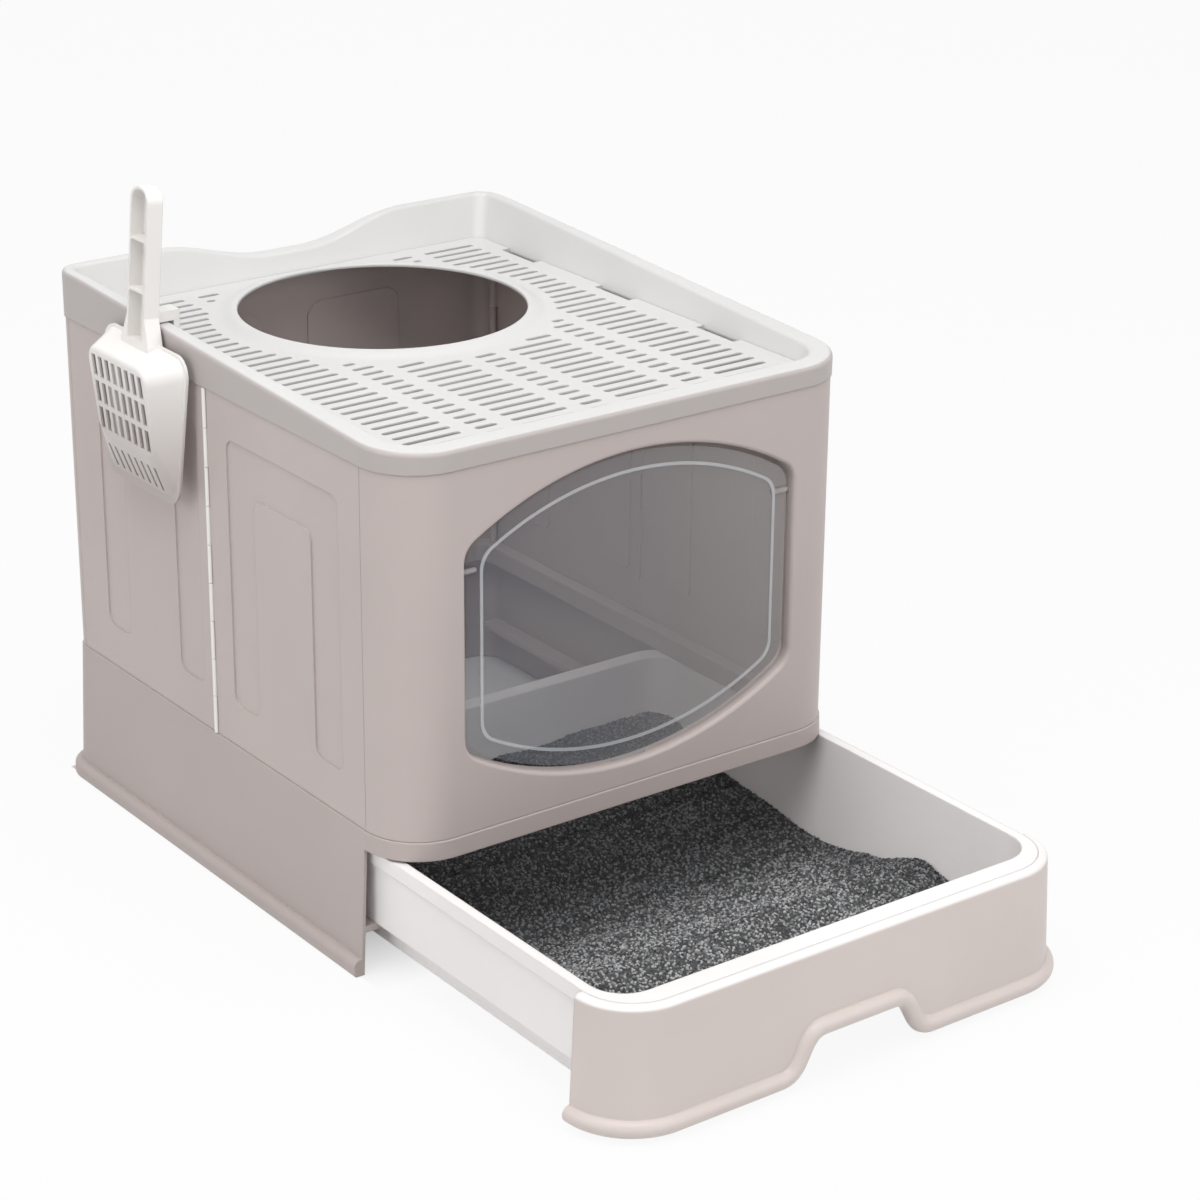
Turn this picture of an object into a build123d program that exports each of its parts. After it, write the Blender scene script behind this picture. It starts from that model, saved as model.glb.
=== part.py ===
from build123d import *
import os

# A foldable covered litter box: a base frame with a pull-out litter drawer, walls that fold inwards on
# upright hinges, a clear entry flap, and a tray-shaped lid with a slotted deck and a round entry hole.
# Millimetres. The origin is on the floor under the middle of the box, the front faces -Y, and +Z is up.
# The drawer is drawn pulled out, as it stands at rest.

# Whole box: footprint, corner radii and the moulded sheet that its pieces share
width = 400.0
depth = 472.0
front_radius = 45.0
rear_radius = 18.0
sheet = 2.4
overrun = 20.0

# Base frame: skirt that widens downwards, its foot, a top ledge for the walls and two drawer rails
base_height = 113.0
skirt_proud = 1.0
skirt_draft = 5.0
skirt_top_round = 0.9
front_rail_height = 14.0
foot_flare = 6.0
foot_height = 13.0
foot_round = 5.5
foot_under_round = 2.0
ledge_width = 14.0
ledge_lip = 15.4
rail_top = 38.0
rail_thickness = 4.6
rail_bearing = 4.0
rail_end_gap = 12.0

# Folding walls: height, running gaps, and the U-shaped channel pressed into each leaf
wall_height = 271.6
wall_gap = 0.3
seam_gap = 0.3
channel_width = 148.0
channel_leg = 36.0
channel_top_drop = 30.6
channel_bottom_rise = 34.0
channel_depth = 1.2
channel_round = 9.0
rear_channel_shift = 13.5

# Rear wall: two pressed pads
pad_width = 88.0
pad_middle_gap = 44.0
pad_round = 14.0

# Wall hinges: barrels inside the corners, a fine bead outside at the middle fold, and their pins
corner_barrel_radius = 3.0
corner_barrel_standoff = 3.4
corner_pin_radius = 1.4
fold_bead_radius = 2.0
fold_bead_clearance = 0.4
fold_pin_radius = 0.9
pin_clearance = 0.05
open_pivot_clearance = 0.3
knuckle_count = 9
knuckle_gap = 0.3
pin_end_gap = 2.0

# Front window and its flap
window_side_margin = 10.5
window_head_drop = 60.1
window_bow = 43.5
window_sill_rise = 61.0
window_round = 18.0
window_flange_depth = 12.0
window_edge_round = 3.0
flap_gap = 3.5
flap_thickness = 2.2
flap_setback = 5.0
flap_rib_inset = 11.0
flap_rib_width = 2.4
flap_rib_height = 0.9
flap_tab_width = 30.0
flap_tab_drop = 2.5
flap_pivot_drop = 18.0
flap_pivot_setback = 8.0
flap_pin_radius = 2.0
flap_boss_radius = 4.2
flap_boss_length = 9.0
flap_boss_gap = 0.5
flange_boss_length = 3.1

# Lid: rim that rises to the rear with sloped inner sides, ledge under the deck, rear dip and tabs
lid_proud = 1.0
rim_front_height = 15.4
rim_rear_height = 36.4
rim_rear_flat = 36.0
rim_bend = 12.0
rim_width = 8.0
rim_foot_width = 22.0
rim_round = 3.4
lid_ledge_thickness = 2.0
lid_ledge_inset = 25.5
dip_depth = 17.5
dip_half_width = 116.0
dip_flat_half_width = 14.0
tab_width = 40.0
tab_spacing = 240.0
tab_drop = 9.0
tab_gap = 0.2

# Slotted deck: slot pattern, round entry hole with its lip, and the windows beside the rims
deck_thickness = 2.0
deck_gap = 0.2
slot_width = 5.0
slot_pitch = 13.0
slot_end_margin = 40.5
long_slot = 47.0
short_slot = 18.0
slot_gap = 12.5
slot_least_length = 6.0
hole_radius = 111.0
hole_rear_gap = 0.8
lip_width = 16.0
lip_height = 4.5
lip_edge = 2.6
lip_round = 1.3
plain_ring_width = 6.0
side_window_length = 45.0
side_window_width = 8.0
side_window_ys = (148.0, 21.0, -108.0)

# Drawer: how far it stands open, its tray, basin, rim bead and litter
pull_out = 249.0
tray_ledge_gap = 0.6
tray_front_gap = 0.2
tray_rear_gap = 3.0
tray_skirt_low_gap = 0.1
tray_side_rim = 5.4
tray_front_rim = 13.4
tray_rear_rim = 12.0
rim_bead_height = 11.5
rim_bead_out = 2.0
basin_floor = 10.0
basin_draft = 12.0
basin_front_radius = 30.0
basin_rear_radius = 26.0
basin_floor_round = 10.0
litter_gap = 0.3

# Drawer front: panel with rounded corners and top, and a foot bead that arches for the hand
front_floor_gap = 3.0
front_seam_gap = 0.5
front_flange_width = 5.0
front_top_round = 4.5
foot_bead_radius = 6.5
foot_bead_sink = 1.0
arch_half_width = 68.0
arch_flat_half_width = 30.0
arch_height = 30.5

# Litter scoop hung over the left rim: bowl, slots, leaning handle and hook
scoop_y = 83.5
scoop_sheet = 2.0
scoop_lean = 4.0
bowl_wall_gap = 6.0
bowl_rise = 17.4
bowl_height = 111.0
bowl_rim_top_width = 121.0
bowl_rim_low_width = 104.0
bowl_depth = 27.0
bowl_floor_drop = 9.0
bowl_floor_height_share = 0.64
bowl_floor_lean = 9.8
bowl_floor_top_width = 87.0
bowl_floor_low_width = 81.0
bowl_round = 14.0
bowl_edge_round = 4.0
bowl_bead = 1.6
scoop_slot_rows = 3
scoop_slot_columns = 8
scoop_slot_width = 5.8
scoop_slot_height = 17.0
scoop_slot_bar = 3.9
scoop_slot_drop = 6.5
lip_slot_width = 3.4
lip_slot_rise = 7.0
lip_slot_length = 18.0
handle_width = 25.0
handle_thickness = 12.5
handle_foot = 14.0
handle_length = 115.0
handle_lean = 1.0
handle_rim_gap = 3.0
handle_cells = 3
handle_round = 11.0
handle_cell_round = 2.0
handle_flare = 7.0
handle_flare_height = 20.0
hook_width = 14.0
hook_height = 8.0
hook_reach = 5.0
hook_drop = 6.0
hook_gap = 0.5

half_width = width / 2
front_y = -depth / 2
rear_y = depth / 2
wall_low = base_height + wall_gap
wall_top = base_height + wall_height
wall_high = wall_top - wall_gap
window_half_width = half_width - front_radius - window_side_margin
window_sill = base_height + window_sill_rise
window_head = wall_top - window_head_drop
front_hinge_y = front_y + front_radius
rear_hinge_y = rear_y - rear_radius
mid_hinge_y = (front_hinge_y + rear_hinge_y) / 2
corner_hinge_x = half_width - sheet - corner_barrel_standoff
corner_bore = corner_pin_radius + pin_clearance
open_bore = corner_pin_radius + open_pivot_clearance
fold_bore = fold_pin_radius + pin_clearance
rail_bottom = base_height - front_rail_height
rim_top = wall_top + rim_rear_height
rim_rise_share = (rim_rear_height - rim_front_height) / (depth - rim_rear_flat)
deck_low = wall_top + lid_ledge_thickness
hole_y = rear_y - rim_foot_width - deck_gap - hole_rear_gap - lip_width - hole_radius
open_front = front_y - pull_out
tray_top = base_height - ledge_lip - tray_ledge_gap
tray_rear = rear_y - tray_rear_gap - pull_out
tray_inset = front_flange_width + tray_front_gap
bowl_floor_height = bowl_height * bowl_floor_height_share


def block(x_low, x_high, y_low, y_high, z_low, z_high):
    """A box between two corners."""
    middle = Pos((x_low + x_high) / 2, (y_low + y_high) / 2, (z_low + z_high) / 2)
    return middle * Box(x_high - x_low, y_high - y_low, z_high - z_low)


def footprint(inset, front=front_y, rear=rear_y):
    """The box's plan with its large front and small rear corners, drawn in by an inset."""
    plan = Rectangle(width - 2 * inset, rear - front - 2 * inset)
    plan = fillet(plan.vertices().group_by(Axis.Y)[0], front_radius - inset)
    plan = fillet(plan.vertices().group_by(Axis.Y)[-1], rear_radius - min(inset, rear_radius / 2))
    return Pos(0, (front + rear) / 2) * plan


def ring(outer_inset, inner_inset, low, high, front=front_y, rear=rear_y):
    """An upright wall that follows the plan between two insets."""
    plan = footprint(outer_inset, front, rear) - footprint(inner_inset, front, rear)
    return Pos(0, 0, low) * extrude(plan, high - low)


def skirt_spread(height):
    """How far the skirt stands out from the walls' plan at a height."""
    return skirt_proud + skirt_draft * (base_height - height) / base_height


def skirt_solid(inset, low, high, front=front_y):
    """The plan as a solid that widens downwards, drawn in by an inset."""
    return loft([Pos(0, 0, level) * footprint(inset - skirt_spread(level), front) for level in (low, high)])


def rod(radius, x, y, low, high):
    """An upright round bar."""
    return Pos(x, y, low) * Cylinder(radius, high - low, align=(Align.CENTER, Align.CENTER, Align.MIN))


def knuckle_spans(first):
    """The heights of every other knuckle, from the first one up."""
    step = (wall_high - wall_low) / knuckle_count
    spans = []
    for number in range(first, knuckle_count, 2):
        low = wall_low + number * step + knuckle_gap / 2
        spans.append((low, low + step - knuckle_gap))
    return spans


def corner_knuckles(hinge_y, toward, first):
    """Left corner barrels with webs back to the panel that lies on one side of the hinge line."""
    pieces = []
    near_y = hinge_y + toward * seam_gap / 2
    far_y = hinge_y + toward * corner_barrel_radius
    for low, high in knuckle_spans(first):
        pieces.append(rod(corner_barrel_radius, -corner_hinge_x, hinge_y, low, high))
        web = block(
            -half_width + sheet / 2, -corner_hinge_x, min(near_y, far_y), max(near_y, far_y), low, high
        )
        pieces.append(web)
    return pieces


def fold_knuckles(toward, first):
    """Left middle barrels, which show outside as a bead, with webs to the leaf on one side."""
    pieces = []
    far_y = mid_hinge_y + toward * (fold_bead_radius + 2 * fold_bead_clearance)
    for low, high in knuckle_spans(first):
        pieces.append(rod(fold_bead_radius, -half_width, mid_hinge_y, low, high))
        web = block(
            -half_width,
            -half_width + fold_bead_radius,
            min(mid_hinge_y, far_y),
            max(mid_hinge_y, far_y),
            low,
            high,
        )
        pieces.append(web)
    return pieces


def channel_plan(middle_y):
    """The wide inverted U pressed into a leaf, on the plane of the wall."""
    low = base_height + channel_bottom_rise
    high = wall_top - channel_top_drop
    outer = Pos(middle_y, (low + high) / 2) * Rectangle(channel_width, high - low)
    gap_high = high - channel_leg
    gap = Pos(middle_y, (low + gap_high) / 2) * Rectangle(channel_width - 2 * channel_leg, gap_high - low)
    plan = outer - gap
    return fillet(plan.vertices(), channel_round)


def pressed(panel, plane, plan, outward):
    """A panel with a shape pressed in from outside, so that it stands proud inside."""
    dent = extrude(plane * plan, -outward * channel_depth)
    bump_plane = plane.offset(-outward * sheet)
    bump = extrude(bump_plane * plan, -outward * channel_depth)
    return panel + bump - dent


def left_leaf(rear_half, corner_hole):
    """One of the two leaves of the left wall: a plain sheet, its channel and its hinge barrels."""
    bead_room = fold_bead_radius + fold_bead_clearance
    if rear_half:
        hinge_y, toward = rear_hinge_y, -1
    else:
        hinge_y, toward = front_hinge_y, 1
    low_y, high_y = sorted((hinge_y + toward * seam_gap / 2, mid_hinge_y - toward * bead_room))
    panel = block(-half_width, -half_width + sheet, low_y, high_y, wall_low, wall_high)
    channel_y = (hinge_y + mid_hinge_y) / 2 - (rear_channel_shift if rear_half else 0)
    panel = pressed(panel, Plane.YZ.offset(-half_width), channel_plan(channel_y), -1)
    panel += corner_knuckles(hinge_y, toward, 1)
    panel += fold_knuckles(-toward, 0 if rear_half else 1)
    panel -= rod(corner_hole, -corner_hinge_x, hinge_y, wall_low, wall_high)
    return panel - rod(fold_bore, -half_width, mid_hinge_y, wall_low, wall_high)


def base_frame():
    """Skirt, foot, ledge that the walls stand on, and the rails that the drawer runs on."""
    frame = skirt_solid(0, 0, base_height)
    frame = fillet(frame.faces().sort_by(Axis.Z)[-1].edges(), skirt_top_round)
    foot = extrude(footprint(-skirt_spread(0) - foot_flare), foot_height)
    foot = fillet(foot.faces().sort_by(Axis.Z)[-1].edges(), foot_round)
    foot = fillet(foot.faces().sort_by(Axis.Z)[0].edges(), foot_under_round)
    frame += foot
    frame -= skirt_solid(sheet, -overrun, base_height + overrun)
    reach = half_width + skirt_spread(0) + foot_flare + overrun
    frame -= block(-reach, reach, front_y - reach, front_hinge_y, -overrun, rail_bottom)
    frame += ring(0, ledge_width, base_height - sheet, base_height)
    frame += ring(ledge_width - sheet, ledge_width, base_height - ledge_lip, base_height)
    rail_inner = half_width - tray_inset - rim_bead_out - sheet - rail_bearing
    rail_outer = half_width + skirt_spread(rail_top) - sheet / 2
    for side in (-1, 1):
        edges = sorted((side * rail_inner, side * rail_outer))
        frame += block(*edges, front_hinge_y, rear_y - rail_end_gap, rail_top - rail_thickness, rail_top)
    return frame


def rear_wall():
    """The fixed wall at the back, turned round both corners as far as the side hinges."""
    wall = ring(0, sheet, base_height, wall_top)
    reach = half_width + overrun
    wall &= block(-reach, reach, rear_hinge_y + seam_gap / 2, rear_y + overrun, 0, wall_top + overrun)
    low = base_height + channel_bottom_rise
    high = wall_top - channel_top_drop
    for side in (-1, 1):
        middle_x = side * (pad_middle_gap + pad_width) / 2
        pad = Pos(middle_x, (low + high) / 2) * RectangleRounded(pad_width, high - low, pad_round)
        wall = pressed(wall, Plane.XZ.offset(-rear_y), pad, -1)
    left = corner_knuckles(rear_hinge_y, 1, 0)
    wall += left + [mirror(piece, about=Plane.YZ) for piece in left]
    for side in (-1, 1):
        wall -= rod(corner_bore, side * corner_hinge_x, rear_hinge_y, wall_low, wall_high)
    return wall


def window(grow):
    """The barrel-shaped outline of the front window, larger or smaller by a margin, with equal corners."""
    side = window_half_width + grow
    bow_radius = (window_half_width**2 + window_bow**2) / (2 * window_bow)
    corner_drop = bow_radius + grow - ((bow_radius + grow) ** 2 - side**2) ** 0.5
    low, high = window_sill - window_bow - grow, window_head + window_bow + grow
    sill, head = low + corner_drop, high - corner_drop
    edge = ThreePointArc((-side, sill), (0, low), (side, sill))
    edge += Line((side, sill), (side, head))
    edge += ThreePointArc((side, head), (0, high), (-side, head))
    edge += Line((-side, head), (-side, sill))
    return fillet(make_face(edge).vertices(), window_round)


def flap_axis_rod(radius, x_low, x_high):
    """A round bar on the flap's pivot line."""
    middle = Pos((x_low + x_high) / 2, front_y + flap_pivot_setback, window_head - flap_pivot_drop)
    return middle * Rot(0, 90, 0) * Cylinder(radius, x_high - x_low)


def front_wall():
    """The front panel with its window, the flange round the window and the flap's pivot holes."""
    wall = ring(0, sheet, wall_low, wall_high)
    reach = half_width + overrun
    wall &= block(-reach, reach, front_y - overrun, front_hinge_y - seam_gap / 2, 0, wall_top + overrun)
    face = Plane.XZ.offset(-front_y)
    wall += extrude(face * window(sheet), -window_flange_depth)
    wall -= extrude(face.offset(overrun) * window(0), -window_flange_depth - 2 * overrun)
    rim = [
        edge
        for edge in wall.edges().filter_by_position(Axis.Y, front_y - seam_gap, front_y + seam_gap)
        if abs(edge.center().X) < window_half_width + sheet
        and wall_low + sheet < edge.center().Z < wall_high - sheet
    ]
    wall = fillet(rim, window_edge_round)
    outer_x = window_half_width + sheet + flange_boss_length
    for side in (-1, 1):
        span = sorted((side * (window_half_width + sheet / 2), side * outer_x))
        wall += flap_axis_rod(flap_boss_radius, *span)
    wall -= flap_axis_rod(flap_pin_radius + pin_clearance, -outer_x, outer_x)
    left = corner_knuckles(front_hinge_y, -1, 0)
    wall += left + [mirror(piece, about=Plane.YZ) for piece in left]
    for side in (-1, 1):
        wall -= rod(corner_bore, side * corner_hinge_x, front_hinge_y, wall_low, wall_high)
    return wall


def flap_panel():
    """The clear flap: a thin sheet with a raised rib inside its edge, a stop tab and two pivot bosses."""
    front = front_y + flap_setback
    face = Plane.XZ.offset(-front)
    flap = extrude(face * window(-flap_gap), -flap_thickness)
    rib = window(-flap_gap - flap_rib_inset) - window(-flap_gap - flap_rib_inset - flap_rib_width)
    flap += extrude(face * rib, flap_rib_height)
    sill_middle = window_sill - window_bow + flap_gap
    flap += block(
        -flap_tab_width / 2,
        flap_tab_width / 2,
        front,
        front + flap_thickness,
        sill_middle - flap_tab_drop,
        sill_middle + flap_tab_drop,
    )
    outer_x = window_half_width - flap_gap - flap_boss_gap
    for side in (-1, 1):
        span = sorted((side * outer_x, side * (outer_x - flap_boss_length)))
        boss = flap_axis_rod(flap_boss_radius, *span)
        flap += boss & block(*span, front, 0, base_height, wall_top)
        span = sorted((side * window_half_width, side * (outer_x - flap_boss_length)))
        flap -= flap_axis_rod(flap_pin_radius + pin_clearance, *span)
    return flap


def flap_pin(side):
    """One pivot pin, from the flap's boss through the window flange."""
    inner_x = window_half_width - flap_gap - flap_boss_gap - flap_boss_length
    outer_x = window_half_width + sheet + flange_boss_length
    return flap_axis_rod(flap_pin_radius, *sorted((side * inner_x, side * outer_x)))


def side_windows():
    """The cuts beside both rims of the lid, through its ledge and its deck."""
    cuts = []
    outer_x = half_width - rim_foot_width
    for side in (-1, 1):
        span = sorted((side * outer_x, side * (outer_x - side_window_width)))
        for middle in side_window_ys:
            low, high = middle - side_window_length / 2, middle + side_window_length / 2
            cuts.append(block(*span, low, high, wall_top - overrun, wall_top + overrun))
    return cuts


def slope_plan(flat_y):
    """The area over the lid's rim seen from the side: a straight rise that bends level at the rear."""
    bend_y = rear_y - rim_rear_flat - rim_bend
    low_y = front_y - overrun
    start = (low_y, wall_top + rim_front_height - rim_rise_share * overrun)
    bend = (bend_y, rim_top - rim_rise_share * rim_bend)
    edge = Line(start, bend)
    edge += TangentArc(bend, (flat_y, rim_top), tangent=(1, rim_rise_share))
    high = rim_top + 2 * overrun
    edge += Polyline((flat_y, rim_top), (flat_y, high), (low_y, high), start)
    return make_face(edge)


def lid_frame():
    """The lid's rim, low in front and high behind, with a dip in the back and a ledge inside."""
    reach = half_width + overrun
    flat_y = rear_y - rim_rear_flat + rim_bend * (1 + rim_rise_share**2) ** 0.5
    frame = Pos(0, 0, wall_top) * extrude(footprint(-lid_proud), rim_rear_height + overrun)
    frame -= extrude(Plane.YZ * slope_plan(flat_y), reach, both=True)
    frame -= extrude(Plane.XZ.offset(-flat_y) * dip_plan(reach), -rim_rear_flat - overrun)
    hollow_low, hollow_high = footprint(rim_foot_width), footprint(rim_width)
    frame -= loft([Pos(0, 0, deck_low) * hollow_low, Pos(0, 0, rim_top) * hollow_high])
    upward_share = 0.8
    tops = [face for face in frame.faces() if face.normal_at().Z > upward_share]
    tops = [face for face in tops if face.center().Z > deck_low + rim_round]
    frame = fillet([edge for face in tops for edge in face.edges()], rim_round)
    frame -= Pos(0, 0, wall_top - overrun) * extrude(footprint(lid_ledge_inset), 2 * overrun)
    frame -= side_windows()
    tab_rear = rear_y - sheet - tab_gap
    for side in (-1, 1):
        middle = side * tab_spacing / 2
        low, high = middle - tab_width / 2, middle + tab_width / 2
        frame += block(low, high, tab_rear - sheet, tab_rear, wall_top - tab_drop, deck_low)
    return frame


def dip_plan(reach):
    """The area over the rear rim, whose lower edge has a smooth dip in the middle."""
    low, high = rim_top - dip_depth, rim_top + 2 * overrun
    edge = Line((-reach, rim_top), (-dip_half_width, rim_top))
    edge += Spline((-dip_half_width, rim_top), (-dip_flat_half_width, low), tangents=[(1, 0), (1, 0)])
    edge += Line((-dip_flat_half_width, low), (dip_flat_half_width, low))
    edge += Spline((dip_flat_half_width, low), (dip_half_width, rim_top), tangents=[(1, 0), (1, 0)])
    edge += Line((dip_half_width, rim_top), (reach, rim_top))
    edge += Polyline((reach, rim_top), (reach, high), (-reach, high), (-reach, rim_top))
    return make_face(edge)


def deck_slots():
    """The rows of long and short slots, stopped short of the plain ring round the hole."""
    lengths = (long_slot, short_slot, long_slot, short_slot, long_slot, short_slot, long_slot)
    row_length = sum(lengths) + slot_gap * (len(lengths) - 1)
    keep_out = hole_radius + lip_width + plain_ring_width
    slot_rows = int((depth - 2 * slot_end_margin) / slot_pitch) + 1
    slots = []
    for row in range(slot_rows):
        y = (row - (slot_rows - 1) / 2) * slot_pitch
        x = -row_length / 2
        reach = keep_out ** 2 - (y - hole_y) ** 2
        stop = max(reach, 0) ** 0.5
        for length in lengths:
            stretches = [(x, x + length)]
            if reach > 0:
                stretches = [(x, min(x + length, -stop)), (max(x, stop), x + length)]
            for low, high in stretches:
                if high - low > slot_least_length:
                    slots.append(Pos((low + high) / 2, y) * SlotOverall(high - low, slot_width))
            x += length + slot_gap
    return slots


def hole_lip():
    """The lip round the entry hole, which swells up from the deck and rolls over into the hole."""
    deck_high = deck_low + deck_thickness
    top = deck_high + lip_height
    crown, foot = hole_radius + lip_round, hole_radius + lip_width
    edge = Line((hole_radius, top - lip_edge), (hole_radius, top - lip_round))
    edge += TangentArc((hole_radius, top - lip_round), (crown, top), tangent=(0, 1))
    edge += Spline((crown, top), (foot, deck_high), tangents=[(1, 0), (1, 0)])
    edge += Line((foot, deck_high), (foot, deck_low))
    edge += Spline((foot, deck_low), (hole_radius, top - lip_edge), tangents=[(-1, 0), (-1, 0)])
    return Pos(0, hole_y) * revolve(Plane.XZ * make_face(edge), Axis.Z)


def lid_grate():
    """The slotted deck, with the raised lip round its entry hole."""
    plan = footprint(rim_foot_width + deck_gap)
    plan -= Pos(0, hole_y) * Circle(hole_radius + lip_width - deck_thickness / 2)
    deck = Pos(0, 0, deck_low) * extrude(plan - deck_slots(), deck_thickness)
    return deck + hole_lip() - side_windows()


def basin(inset, floor):
    """The tapered hollow of the tray, drawn in by an inset, down to a floor."""
    half = half_width - tray_inset - tray_side_rim - inset
    front = open_front + tray_inset + tray_front_rim + inset
    rear = tray_rear - tray_rear_rim - inset
    levels = []
    for draw_in, height in ((basin_draft, floor), (0, tray_top)):
        plan = Rectangle(2 * (half - draw_in), rear - front - 2 * draw_in)
        plan = fillet(plan.vertices().group_by(Axis.Y)[0], basin_front_radius - inset)
        plan = fillet(plan.vertices().group_by(Axis.Y)[-1], basin_rear_radius - inset)
        levels.append(Pos(0, (front + rear) / 2, height) * plan)
    hollow = loft(levels)
    return fillet(hollow.faces().sort_by(Axis.Z)[0].edges(), basin_floor_round - inset)


def tray_plan(inset):
    """The tray's outline at its rim, drawn in by an inset."""
    half = half_width - tray_inset - inset
    front = open_front + tray_inset + inset
    rear = tray_rear - inset
    plan = Rectangle(2 * half, rear - front)
    plan = fillet(plan.vertices().group_by(Axis.Y)[0], front_radius - tray_inset - inset)
    plan = fillet(plan.vertices().group_by(Axis.Y)[-1], basin_rear_radius)
    return Pos(0, (front + rear) / 2) * plan


def litter_tray():
    """The pull-out tray: a deep basin hung from a flat rim, with skirts that ride on the rails."""
    low = rail_top + tray_skirt_low_gap
    skirt = tray_plan(rim_bead_out) - tray_plan(rim_bead_out + sheet)
    tray = Pos(0, 0, low) * extrude(skirt, tray_top - low)
    bead = tray_plan(0) - tray_plan(rim_bead_out + sheet)
    tray += Pos(0, 0, tray_top - rim_bead_height) * extrude(bead, rim_bead_height)
    tray += Pos(0, 0, tray_top - sheet) * extrude(tray_plan(rim_bead_out), sheet)
    tray += basin(0, basin_floor)
    return tray - basin(sheet, basin_floor + sheet)


def foot_line():
    """The middle line of the drawer front's foot bead: round the corners and up over the finger arch."""
    low = front_floor_gap + foot_bead_radius
    high = low + arch_height
    spread = skirt_spread(low) - foot_bead_sink
    side, face, bend = half_width + spread, open_front - spread, front_radius + spread
    outer, inner = arch_half_width, arch_flat_half_width
    line = TangentArc((-side, face + bend, low), (bend - side, face, low), tangent=(0, -1, 0))
    line += Line((bend - side, face, low), (-outer, face, low))
    line += Spline((-outer, face, low), (-inner, face, high), tangents=[(1, 0, 0), (1, 0, 0)])
    line += Line((-inner, face, high), (inner, face, high))
    line += Spline((inner, face, high), (outer, face, low), tangents=[(1, 0, 0), (1, 0, 0)])
    line += Line((outer, face, low), (side - bend, face, low))
    line += TangentArc((side - bend, face, low), (side, face + bend, low), tangent=(1, 0, 0))
    return line


def under_area():
    """The area under the foot bead's middle line, seen from the front."""
    side = half_width + skirt_spread(0) + overrun
    low = front_floor_gap + foot_bead_radius
    high = low + arch_height
    outer, inner = arch_half_width, arch_flat_half_width
    edge = Line((-side, low), (-outer, low))
    edge += Spline((-outer, low), (-inner, high), tangents=[(1, 0), (1, 0)])
    edge += Line((-inner, high), (inner, high))
    edge += Spline((inner, high), (outer, low), tangents=[(1, 0), (1, 0)])
    edge += Polyline((outer, low), (side, low), (side, -overrun), (-side, -overrun), (-side, low))
    return make_face(edge)


def drawer_front():
    """The drawer's front panel, with rounded corners and top and a foot bead that arches for the hand."""
    side = half_width + skirt_spread(0) + foot_bead_radius + overrun
    inside = skirt_solid(sheet, -overrun, tray_top - sheet, open_front)
    panel = skirt_solid(0, 0, tray_top, open_front)
    panel = fillet(panel.faces().sort_by(Axis.Z)[-1].edges(), front_top_round)
    panel -= inside
    panel -= Pos(0, 0, tray_top - overrun) * extrude(footprint(front_flange_width, open_front), 2 * overrun)
    panel -= extrude(Plane.XZ.offset(-open_front) * under_area(), side, both=True)
    line = foot_line()
    bead = sweep(Plane(origin=line @ 0, z_dir=line % 0) * Circle(foot_bead_radius), path=line)
    panel += bead - inside
    rear = front_hinge_y - pull_out - front_seam_gap
    return panel & block(-side, side, open_front - side, rear, -overrun, tray_top + overrun)


def litter_fill():
    """The litter in the basin, as one body with the mounded top that the granules make."""
    front = open_front + tray_inset
    length = tray_rear - front
    depth_room = tray_top - basin_floor
    top_length_shares = (0, 0.12, 0.21, 0.26, 0.38, 0.47, 0.58, 0.75, 0.9, 1)
    top_height_shares = (0.32, 0.3, 0.4, 0.44, 0.26, 0.14, 0.17, 0.25, 0.45, 0.57)
    points = []
    for along, up in zip(top_length_shares, top_height_shares):
        points.append((front + along * length, basin_floor + up * depth_room))
    top = Spline(*points)
    under = Polyline(points[-1], (tray_rear, 0), (front, 0), points[0])
    area = make_face(top + under)
    mound = extrude(Plane.YZ * area, half_width, both=True)
    return mound & basin(sheet + litter_gap, basin_floor + sheet + litter_gap)


scoop_stand = Pos(-half_width - bowl_wall_gap, scoop_y, wall_top + bowl_rise) * Rot(0, scoop_lean, 0)
bowl_floor_stand = Pos(-bowl_depth, 0, -bowl_floor_drop) * Rot(0, -bowl_floor_lean, 0)


def bowl_outline(top_width, low_width, height, grow):
    """A rounded outline of the bowl that narrows downwards, hung from the middle of its top edge."""
    top, low = top_width / 2 + grow, low_width / 2 + grow
    outline = Polyline((-top, grow), (top, grow), (low, -height - grow), (-low, -height - grow), close=True)
    return fillet(make_face(outline).vertices(), bowl_round + grow)


def bowl_block(inset):
    """The scoop's bowl between its floor and its rim, drawn in by an inset."""
    floor = bowl_outline(bowl_floor_top_width, bowl_floor_low_width, bowl_floor_height, -inset)
    rim = bowl_outline(bowl_rim_top_width, bowl_rim_low_width, bowl_height, -inset)
    floor = Pos(inset, 0, 0) * bowl_floor_stand * (Plane.YZ * floor)
    bowl = loft([floor, Plane.YZ * rim])
    return fillet(bowl.faces().sort_by(Axis.X)[0].edges(), bowl_edge_round - inset)


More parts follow.
